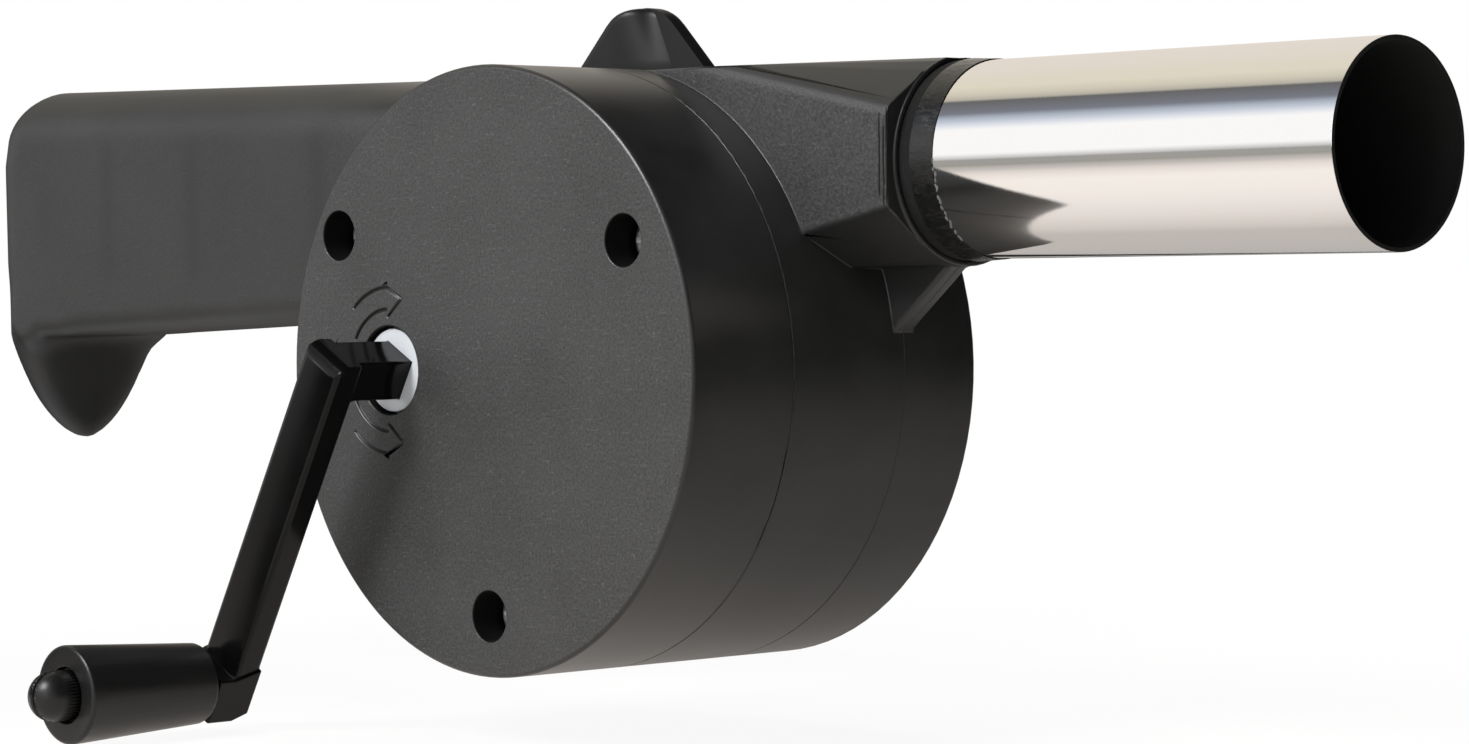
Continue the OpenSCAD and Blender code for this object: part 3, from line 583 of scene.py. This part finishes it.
def grip_field(x, y, z, inset):
    """Below zero inside the plain grip, drawn in by an inset."""
    place = x - GRIP_END
    share = np.clip((GRIP_ROOT - x) / (GRIP_ROOT - GRIP_END - GRIP_TOP_R), 0, 1)
    top = GRIP_TOP + share * GRIP_RISE
    low = top - GRIP_ROOT_H - share * (GRIP_H - GRIP_ROOT_H)
    middle = (top + low) / 2
    low_r = GRIP_LOW_R * np.clip((place - GRIP_LOW_FROM) / (GRIP_LOW_TO - GRIP_LOW_FROM), 0.8, 1)
    edge_r = np.where(z > middle, GRIP_EDGE_R, low_r)
    edge_r = edge_r + (GRIP_CAD_R - edge_r) * np.clip((x - GRIP_CUT) / GRIP_EASE + 1, 0, 1) ** 1.5
    flat = rounded_corner(np.abs(y) - GRIP_HALF, np.abs(z - middle) - (top - low) / 2, edge_r)
    level = (z - middle) / (top - middle)
    end_r = GRIP_END_R + (GRIP_TOP_R - GRIP_END_R) * np.clip((level - END_GROW_FROM) / END_GROW_TOP, 0, 1)
    end_r = end_r + (GRIP_HEEL_R - GRIP_END_R) * np.clip((-level - END_GROW_FROM) / END_GROW_HEEL, 0, 1)
    end = GRIP_LEAN * np.maximum(GRIP_LEAN_Z - z, 0) - place
    return rounded_corner(flat, end, end_r) + inset


def guard_field(x, y, z):
    """Below zero inside the finger guard, a round tongue that flares up into the handle."""
    run = x - GRIP_END - GUARD_MID
    rise = np.clip((z - GUARD_RISE_Z) / GUARD_RISE, 0, 1)
    to_end = (np.maximum(-run, 0) / GUARD_TO_END) ** GUARD_END_POWER
    drum_power = GUARD_DRUM_POWER + GUARD_STIFFEN * rise ** 2
    to_drum = (np.maximum(run, 0) / (GUARD_TO_DRUM + GUARD_FLARE * rise ** 3)) ** drum_power
    hang = np.maximum(GUARD_TOP - z, 0) / GUARD_DROP
    spread = np.clip((z - GUARD_SPREAD_Z) / GUARD_SPREAD_RISE, 0, 1) ** 1.5
    half = GUARD_HALF + GUARD_SPREAD * spread
    size = (np.abs(y) / half) ** GUARD_POWER + hang ** GUARD_POWER + to_end + to_drum
    return np.maximum((size ** (1 / GUARD_POWER) - 1) * GUARD_SIZE, z - GUARD_INTO_Z)


def handle_field(x, y, z):
    """Below zero inside the handle's walls."""
    place = x - GRIP_END
    blend = GUARD_BLEND * np.clip((BLEND_Z - z) / BLEND_FADE, 0.02, 1)
    blend = blend * np.clip((place - BLEND_FROM) / BLEND_GROW, 0.08, 1)
    outer = soft_min(grip_field(x, y, z, 0), guard_field(x, y, z), blend)
    outer = np.maximum(outer, np.maximum(np.abs(y) - GRIP_HALF, -place))
    cave = grip_field(x, y, z, GRIP_WALL)
    for rib in RIB_XS:
        near = np.abs(x - rib)
        cave = np.maximum(cave, RIB_HALF - near)
        sunk = SINK_DEPTH * np.exp(-(near / SINK_HALF) ** 2)
        outer = outer + sunk * (np.abs(y) > SINK_Y) * (np.abs(z - SINK_Z) < SINK_SPAN)
    for post in HANDLE_SCREW_XS:
        cave = np.maximum(cave, HANDLE_POST_R - np.hypot(x - post, z - HANDLE_SCREW_Z))
    return np.maximum(outer, -cave)


def surface_net(values, low, step):
    """Points and quads of the zero level of a grid of values."""
    inside = values < 0
    cells = tuple(s - 1 for s in values.shape)
    corners = [np.array((i, j, k)) for i in (0, 1) for j in (0, 1) for k in (0, 1)]
    total = np.zeros(cells + (3,))
    count = np.zeros(cells)

    def corner(array, c):
        return array[c[0]:c[0] + cells[0], c[1]:c[1] + cells[1], c[2]:c[2] + cells[2]]

    for a in corners:
        for b in corners:
            if (b - a).sum() != 1 or np.abs(b - a).sum() != 1:
                continue
            va, vb = corner(values, a), corner(values, b)
            change = corner(inside, a) != corner(inside, b)
            share = np.where(change, va / np.where(change, va - vb, 1), 0)
            total += change[..., None] * (a + share[..., None] * (b - a))
            count += change
    used = count > 0
    index = np.full(cells, -1)
    index[used] = np.arange(used.sum())
    points = low + step * (np.argwhere(used) + total[used] / count[used][:, None])
    quads = []
    for axis in range(3):
        u, v = np.eye(3, dtype=int)[[(axis + 1) % 3, (axis + 2) % 3]]
        size = values.shape[axis]
        first = np.take(inside, range(size - 1), axis)
        second = np.take(inside, range(1, size), axis)
        for start, order in ((first & ~second, (0, 1, 2, 3)), (second & ~first, (3, 2, 1, 0))):
            at = np.argwhere(start)
            ring = [index[tuple(p.T)] for p in (at, at - u, at - u - v, at - v)]
            quads.append(np.stack([ring[k] for k in order], 1))
    return points, np.concatenate(quads)


def settled(points, field, rounds=4):
    """Moves points onto the zero level of a field."""
    points = points.copy()
    h = 0.03
    for _ in range(rounds):
        value = field(*points.T)
        slope = np.empty_like(points)
        for axis in range(3):
            nudge = np.zeros(3)
            nudge[axis] = h
            slope[:, axis] = (field(*(points + nudge).T) - field(*(points - nudge).T)) / (2 * h)
        size = np.maximum((slope ** 2).sum(1), 0.1)
        points -= slope * np.clip(value / size, -0.4, 0.4)[:, None]
    return points


def net_of(field, low, high, step):
    """Points and quads of a closed surface where a field is zero, in millimetres."""
    axes = [np.arange(a, b, step) for a, b in zip(low, high)]
    values = field(*np.meshgrid(*axes, indexing="ij"))
    for axis in range(3):
        edge = [slice(None)] * 3
        for end in (0, -1):
            edge[axis] = end
            values[tuple(edge)] = np.maximum(values[tuple(edge)], 0.5)
    points, quads = surface_net(values, low, step)
    return settled(points, field), quads


def half_of(points, quads, side, name, end=None, proud=0.0):
    """A mesh of what lies in front of the housings' joint (side 1) or behind it (-1), cut at an X end.

    A proud half reaches that far past the joint.
    """
    work = bmesh.new()
    verts = [work.verts.new((x * MM, y * MM + SPLIT_Y, z * MM)) for x, y, z in points.tolist()]
    for quad in quads.tolist():
        work.faces.new([verts[k] for k in quad])
    cut(work, (0, SPLIT_Y + side * proud, 0), (0, side, 0))
    if end is not None:
        cut(work, (end, 0, 0), (1, 0, 0))
    return finish_mesh(work, name, 60)


def add_handle(material):
    """Both halves of the handle, which carry on the housings' CAD copies from GRIP_CUT."""
    # Odd margins keep the grid's points off the planes of the form and of the cuts
    low = np.array((GRIP_END - 2.37, -GRIP_HALF - 2.63, -16.21))
    high = np.array((GRIP_CUT + 3.5, GRIP_HALF + 2.5, 46.0))
    points, quads = net_of(handle_field, low, high, GRID)
    well = [
        (0, HANDLE_HOLE_Y), (HANDLE_HOLE_R, HANDLE_HOLE_Y), (HANDLE_HOLE_R, HANDLE_SEAT_Y),
        (HANDLE_WELL_R, HANDLE_SEAT_Y), (HANDLE_WELL_R, 1), (0, 1),
    ]
    for node, side in (("mid_housing", 1), ("rear_housing", -1)):
        name = node + "_grip"
        mesh = half_of(points, quads, side, name, GRIP_CUT * MM)
        if side < 0:
            profile = [(r * MM, y * MM) for r, y in well]
            spots = [Vector((x * MM, 0, HANDLE_SCREW_Z * MM)) for x in HANDLE_SCREW_XS]
            mesh = carved(mesh, [lathe("well", profile, spot) for spot in spots])
            mesh.name = name
        add_piece(name, mesh, material, "housing", (node,))


def ear_bell(x, z):
    """Below zero under the ear's bell outline and outside the drum's inner part."""
    side = np.abs(x - EAR_MID)
    flank = (side + z - EAR_FLANK) * math.sqrt(0.5)
    crown = np.hypot(side, z - EAR_CROWN_Z) - EAR_CROWN_R
    bell = np.where(z - EAR_CROWN_Z > side, crown, flank)
    return np.maximum(bell, EAR_LOW_R - np.hypot(x, z))


def front_ear(x, y, z):
    """Front lug: the left part of the bell, which falls softly to the rear lug's face."""
    bell = ear_bell(x, z)
    rise = np.clip((z - FOLD_Z) / FOLD_RISE, 0, 1)
    slope = FOLD_FOOT - FOLD_LOSS * rise
    fold = (x - EAR_MID + 0.6 + 0.6 * rise - slope * (y + EAR_LUG) / EAR_LUG) * 0.6
    lug = soft_max(fold, -y - EAR_LUG, 2.2)
    return soft_max(soft_min(lug, 0.3 - y, 1.6), bell, 1.0)


def rear_ear(x, y, z):
    """Rear lug: the whole bell. It reaches past the joint, where it is cut."""
    return np.maximum(soft_max(ear_bell(x, z), y - EAR_LUG, EAR_EDGE), -2 - y)


def add_ear(material):
    """Both lugs of the ear, with soft edges."""
    low = np.array((EAR_MID - 19.0, -5.0, 33.0))
    high = np.array((EAR_MID + 19.0, 5.0, 53.0))
    for node, side, field in (("mid_housing", 1, front_ear), ("rear_housing", -1, rear_ear)):
        points, quads = net_of(field, low, high, EAR_GRID)
        mesh = half_of(points, quads, side, node + "_ear", proud=EAR_PROUD)
        add_piece(node + "_ear", mesh, material, "housing", (node,))


BEAD_SIDES, BEAD_TAPER = 6, 0.35


def beads(name, paths):
    """Thin solid threads along paths of points, each with its own radius, tapered at the ends."""
    work = bmesh.new()
    for points, radius in paths:
        rings = []
        for k, point in enumerate(points):
            ahead = points[min(k + 1, len(points) - 1)] - points[max(k - 1, 0)]
            one = ahead.orthogonal().normalized()
            two = ahead.cross(one).normalized()
            size = radius * (BEAD_TAPER if k in (0, len(points) - 1) else 1.0)
            ring = []
            for j in range(BEAD_SIDES):
                a = math.tau * j / BEAD_SIDES
                ring.append(work.verts.new(point + size * (math.cos(a) * one + math.sin(a) * two)))
            rings.append(ring)
        for one, two in zip(rings, rings[1:]):
            for j in range(BEAD_SIDES):
                after = (j + 1) % BEAD_SIDES
                work.faces.new((one[j], one[after], two[after], two[j]))
        work.faces.new(rings[0])
        work.faces.new(rings[-1])
    return finish_mesh(work, name, 60)


def wobble(a, b):
    """A fixed uneven value from -1 to 1."""
    return noise.noise(Vector((a * 1.7, b * 2.3, 0.4)))


def duct_flash():
    """Fine upright flash lines beside the duct's end edge."""
    paths = []
    # X of each line, and the heights between which it runs
    lines = ((50.3, 22.0, 32.6), (51.0, 20.9, 31.5), (51.55, 21.2, 33.2))
    for k, (x, low, high) in enumerate(lines):
        points = []
        for j in range(15):
            z = low + (high - low) * j / 14
            points.append(Vector((x + 0.09 * wobble(z, k), DUCT_FACE_Y / MM + 0.01, z)) * MM)
        paths.append((points, 0.13 * MM))
    return beads("duct_flash", paths)


def joint_flash():
    """Broken flash along the mid housing's front edge."""
    paths = []
    angle, last_angle = -8.0, 62.0
    while angle < last_angle:
        run = 2.4 + 2.2 * wobble(angle, 5)
        radius = (0.075 + 0.03 * wobble(angle, 9)) * MM
        points = []
        for j in range(5):
            a = math.radians(angle + run * j / 4)
            points.append(Vector((DRUM_R * math.cos(a), COVER_JOINT_Y + 0.14 * MM, DRUM_R * math.sin(a))))
        paths.append((points, radius))
        angle += run + 1.6 + 1.4 * wobble(angle, 13)
    return beads("joint_flash", paths)


def glue_crumbs():
    """Crumbs of glue along the lower front of the seal's outer edge."""
    paths = []
    for k in range(16):
        a = math.radians(-4 - 3.4 * k + 2 * wobble(k, 3))
        x = SEAL_END_X + (0.1 + 0.25 * wobble(k, 7)) * MM
        points = []
        for j in range(4):
            b = a + math.radians(1.1 * j)
            r = TUBE_R + 0.04 * MM
            along = (0.18 * j * wobble(k, 21)) * MM
            points.append(Vector((x + along, TUBE_Y - r * math.cos(b), TUBE_Z + r * math.sin(b))))
        paths.append((points, (0.1 + 0.06 * wobble(k, 11)) * MM))
    return beads("glue_crumbs", paths)


def dress_faces(piece, material, test):
    """Gives a second material to the faces whose middle passes a test."""
    piece.data.materials.append(material)
    for face in piece.data.polygons:
        if test(face.center):
            face.material_index = 1


def open_joint(work):
    """Wears the cover's rear edge: a fine uneven gap, widest low on the right."""
    bite_angle, bite_half = -24, 13
    for vert in work.verts:
        x, y, z = vert.co
        if abs(y - COVER_JOINT_Y) > 0.01 * MM or math.hypot(x, z) < DRUM_R - 0.1 * MM:
            continue
        angle = math.degrees(math.atan2(z, x))
        bite = max(0.0, 1 - abs(angle - bite_angle) / bite_half)
        rough = noise.noise(Vector((angle * 0.33, 3.1, 0.7)))
        vert.co.y -= (0.05 + 0.05 * abs(rough) + bite * (0.28 + 0.5 * max(rough, -0.4))) * MM


def white_world():
    """White for the camera; a studio by direction for gloss; a low even fill for the rest."""
    world = bpy.data.worlds.new("studio")
    bpy.context.scene.world = world
    n = Nodes(world)
    path = n.add("LightPath")
    coord = n.add("TexCoord")
    dx, dy, dz = n.split(coord.outputs["Generated"])
    # Angle about the X axis: 0 is level in front, a quarter turn is overhead
    turn = n.math("ARCTAN2", dz, n.math("MULTIPLY", dy, -1.0))
    turn = n.fit(turn, -math.pi, math.pi)

    def at(degrees):
        return (degrees + 180) / 360

    left = n.ramp(turn, [
        (at(-180), grey(0.4)), (at(-2), grey(0.45)), (at(5), grey(1)), (at(33), grey(1)),
        (at(38), (0.78, 0.81, 0.88, 1)), (at(43), (0.57, 0.62, 0.71, 1)), (at(48), (0.40, 0.45, 0.53, 1)),
        (at(53), (0.20, 0.21, 0.25, 1)), (at(69), (0.14, 0.14, 0.14, 1)), (at(71), (0.48, 0.45, 0.39, 1)),
        (at(79), (0.66, 0.61, 0.50, 1)), (at(90), (0.76, 0.71, 0.58, 1)), (at(104), (0.76, 0.71, 0.60, 1)),
        (at(120), (0.78, 0.72, 0.64, 1)), (at(180), (0.78, 0.72, 0.64, 1)),
    ])
    # Towards the right and the back the studio is dark
    right = n.math("MULTIPLY", n.fit(dx, -0.6, -0.4), n.fit(dy, -0.8, -0.3))
    far_left = n.math("MULTIPLY", n.fit(dx, -0.78, -0.9), n.fit(dy, -0.05, 0.2))
    studio = n.mix(n.math("MAXIMUM", right, far_left), left, grey(0.008))
    gloss = n.math("MAXIMUM", path.outputs["Is Glossy Ray"], path.outputs["Is Transmission Ray"])
    colour = n.mix(gloss, n.mix(path.outputs["Is Camera Ray"], grey(0.10), grey(1)), studio)
    back = n.add("Background")
    n.link(colour, back.inputs["Color"])
    out = n.add("OutputWorld")
    n.link(back.outputs["Background"], out.inputs["Surface"])


def floor_material():
    """White to the camera, with a faint shadow near the object; to gloss, a painted pool of light; pale
    paper to everything else, grey left of the drum so that it throws less light onto the handle.
    """
    material, n = new_material("floor")
    path = n.add("LightPath")
    coord = n.add("TexCoord")
    x, y = n.split(coord.outputs["Object"])[:2]
    away = n.math("SQRT", n.math("ADD", n.math("MULTIPLY", x, x), n.math("MULTIPLY", y, y)))
    paper = n.add("BsdfDiffuse")
    fibre = n.noise(n.place(300), 3)
    pale = n.mix(fibre, (0.80, 0.78, 0.75, 1), (0.84, 0.82, 0.79, 1))
    n.link(n.mix(n.fit(x, -0.03, -0.12), pale, grey(0.35)), paper.inputs["Color"])
    # Reflected, the floor is a pool of light in front of the object, dim behind it and far away
    near, far = -0.7, 0.1

    def at(metres):
        return (metres - near) / (far - near)

    pool = n.ramp(n.fit(y, near, far), [
        (at(-0.7), (0.36, 0.35, 0.33, 1)), (at(-0.55), (0.34, 0.33, 0.30, 1)),
        (at(-0.33), (0.59, 0.55, 0.52, 1)), (at(-0.25), (0.80, 0.74, 0.69, 1)),
        (at(-0.165), (0.96, 0.90, 0.84, 1)), (at(-0.1), (0.94, 0.88, 0.82, 1)),
        (at(-0.07), (0.88, 0.82, 0.78, 1)), (at(-0.044), (0.80, 0.74, 0.70, 1)),
        (at(-0.02), (0.66, 0.61, 0.57, 1)), (at(-0.008), (0.55, 0.51, 0.48, 1)),
        (at(0.1), (0.48, 0.46, 0.44, 1)),
    ])
    # Dim behind the handle's end, under the handle and to the right; lit beyond the guard
    behind = n.math("MULTIPLY", n.fit(x, -0.17, -0.27), n.fit(y, -0.25, -0.1))
    under = n.math("MULTIPLY", n.fit(x, -0.045, -0.055), n.fit(x, -0.115, -0.1))
    under = n.math("MULTIPLY", under, n.fit(y, -0.07, -0.05))
    beyond = n.math("MULTIPLY", n.fit(x, -0.11, -0.125), n.fit(y, -0.07, -0.05))
    beyond = n.math("MULTIPLY", beyond, n.fit(y, -0.011, -0.018))
    pool = n.mix(beyond, pool, grey(1))
    dim = n.math("MAXIMUM", n.math("MAXIMUM", behind, under), n.fit(x, 0.06, 0.5))
    sheen = n.mix(dim, pool, grey(0.015))
    white = n.add("Emission")
    white.inputs["Strength"].default_value = 1.0
    n.link(n.mix(path.outputs["Is Camera Ray"], sheen, grey(1)), white.inputs["Color"])
    seen = n.math("MULTIPLY", path.outputs["Is Camera Ray"], n.fit(away, 0.07, 0.22, 0.93, 1.0))
    share = n.math("MAXIMUM", seen, path.outputs["Is Glossy Ray"])
    mix = n.add("MixShader")
    n.link(share, mix.inputs["Fac"])
    n.link(paper.outputs["BSDF"], mix.inputs[1])
    n.link(white.outputs["Emission"], mix.inputs[2])
    out = n.add("OutputMaterial")
    n.link(mix.outputs["Shader"], out.inputs["Surface"])
    return material


def card(name, corners, material):
    """A flat four-sided piece of the studio."""
    mesh = bpy.data.meshes.new(name)
    mesh.from_pydata(corners, [], [(0, 1, 2, 3)])
    mesh.materials.append(material)
    obj = link(bpy.data.objects.new(name, mesh))
    return obj


def area_light(name, place, aim, size, power, in_gloss=False, tall=1.0):
    """A lamp of a given width in metres and power in watts, aimed at a point."""
    data = bpy.data.lights.new(name, "AREA")
    data.shape = "RECTANGLE"
    data.size = size
    data.size_y = size * tall
    data.energy = power
    light = link(bpy.data.objects.new(name, data))
    light.location = place
    light.rotation_euler = (Vector(aim) - Vector(place)).to_track_quat("-Z", "Y").to_euler()
    light.visible_glossy = in_gloss


def add_stage():
    """The floor just under the part, the lamps, and a dark flag."""
    floor_z = cad_box[0].z - 0.2 * MM
    half = 3.0
    corners = [(x * half, y * half, floor_z) for x, y in ((-1, -1), (1, -1), (1, 1), (-1, 1))]
    card("floor", corners, floor_material())
    drum = (0, -0.03, 0)
    area_light("key", (-0.17, -1.05, 0.95), drum, size=0.5, power=20, in_gloss=True)
    area_light("left", (-0.95, -0.9, 0.35), drum, size=0.5, power=4)
    area_light("strip", (0.32, -1.3, 0.15), drum, size=0.1, power=1.2, in_gloss=True, tall=9.0)
    area_light("top", (-0.35, 0.1, 1.2), (0, 0, 0), size=0.8, power=11)
    # The flag stands beside the crank, and only gloss shows it
    dark, n = new_material("flag")
    n.shade(Base_Color=n.mix(n.noise(n.place(200)), grey(0.003), grey(0.006)), Roughness=1.0)
    corners = [
        (-0.1001, -0.1044, -0.049), (-0.0845, -0.1252, -0.049),
        (-0.0597, -0.1268, 0.0065), (-0.0753, -0.1060, 0.0065),
    ]
    flag = card("flag", corners, dark)
    flag.visible_camera = False
    flag.visible_diffuse = False
    flag.visible_shadow = False


add_camera()
black = case_plastic("black_plastic")
gloss = moulded_plastic("crank_plastic", grey(0.002), grey(0.005), 0.12, 0.2, 0.004 * MM, 0.4, 0.2)
fan = moulded_plastic("fan_plastic", grey(0.02), grey(0.035), 0.3, 0.45, 0.01 * MM)
satin = moulded_plastic("knob_plastic", grey(0.006), grey(0.016), 0.32, 0.42, 0.012 * MM, 0.5, 0.38)
# Darker inside of the cover, in its wells and holes: painted shade
inside = moulded_plastic("case_inside_painted_shade", grey(0.002), grey(0.005), 0.5, 0.7, 0.01 * MM, 0.3, 0.2)
# The ear lugs, moulded with the housings, are darker than the case: painted shade
lug = moulded_plastic("ear_plastic_painted_shade", grey(0.006), grey(0.014), 0.35, 0.5, 0.006 * MM, 0.3, 0.3)
glue = moulded_plastic("glue", grey(0.12), grey(0.35), 0.25, 0.4, 0.01 * MM)
seal = seal_plastic("seal_rubber")
nylon = moulded_plastic(
    "white_nylon", (0.60, 0.63, 0.67, 1), (0.69, 0.71, 0.74, 1), 0.35, 0.45, 0.008 * MM, 0.3)
# The tube's inside is dark and rough instead of steel: painted shade
tube_shade = moulded_plastic("tube_inside_painted_shade", grey(0.006), grey(0.012), 0.75, 0.9, 0.02 * MM)
steel = drawn_metal("screw_steel", (0.9, 0.9, 0.9, 1), 0.32, 0.5, (1, 1, 1), 0.02 * MM)
brass = drawn_metal("brass", (0.78, 0.58, 0.28, 1), 0.25, 0.4, (1, 8, 1), 0.004 * MM)
polish = drawn_metal("polished_steel", (0.97, 0.96, 0.95, 1), 0.03, 0.07, (6, 2.5, 2.5), 0.0014 * MM)

# Pieces that stand for CAD nodes
cover = refined("front_cover", CASE_EDGE, black, 3, shape=open_joint)
# The cover's inner and recessed faces take the dark inside colour: painted shade
dress_faces(cover, inside, lambda c: c.y > FRONT_Y + 0.4 * MM and math.hypot(c.x, c.z) < DRUM_R - 1.5 * MM)
# The housings end at the handle and under the ear, whose smooth forms follow
HOUSING_ENDS = (((GRIP_CUT * MM, 0, 0), (-1, 0, 0)), ((0, 0, EAR_CUT_Z), (0, 0, 1)))
for node in ("mid_housing", "rear_housing"):
    refined(node, CASE_EDGE, black, 3, cuts=HOUSING_ENDS, radius=case_radius)
add_handle(black)
# The ear takes its darker colour: painted shade
add_ear(lug)
arm = refined("crank_arm", 0.3 * MM, gloss, 3)
dress_faces(arm, satin, lambda c: c.y < KNOB_FRONT_Y)
refined("crank_knob", 0.2 * MM, satin, 3)
tube = refined("blast_tube", 0.08 * MM, polish, 2)
# The tube's inner faces take the dark inside colour: painted shade
dress_faces(tube, tube_shade, lambda c: math.hypot(c.y - TUBE_Y, c.z - TUBE_Z) < TUBE_R - TUBE_WALL * 0.7)
refined("tube_seal", 0.06 * MM, seal, 2, shape=flush_band)
refined("crank_gear", 0.1 * MM, nylon, 2)

# Moulding flash and glue
add_piece("duct_flash", duct_flash(), satin, "housing")
add_piece("joint_flash", joint_flash(), satin, "housing")
add_piece("glue_crumbs", glue_crumbs(), glue, "housing")

# Nodes that keep their CAD shape
PLAIN = {
    "cover_screws": steel, "housing_screws": steel, "handle_screws": steel, "ear_screw": steel,
    "idler_axle": steel, "idler_washers": steel, "crank_washer": steel, "fan_shaft": steel,
    "fan_washers": steel, "fan_clip": steel, "fan_bush_front": brass, "fan_bush_rear": brass,
    "fan_pinion": brass, "idler_gear": nylon, "impeller": fan,
}
for node, material in PLAIN.items():
    mesh = frame["nodes"][node].data
    mesh.materials.clear()
    mesh.materials.append(material)

white_world()
add_stage()

bpy.context.scene.view_settings.view_transform = "Standard"
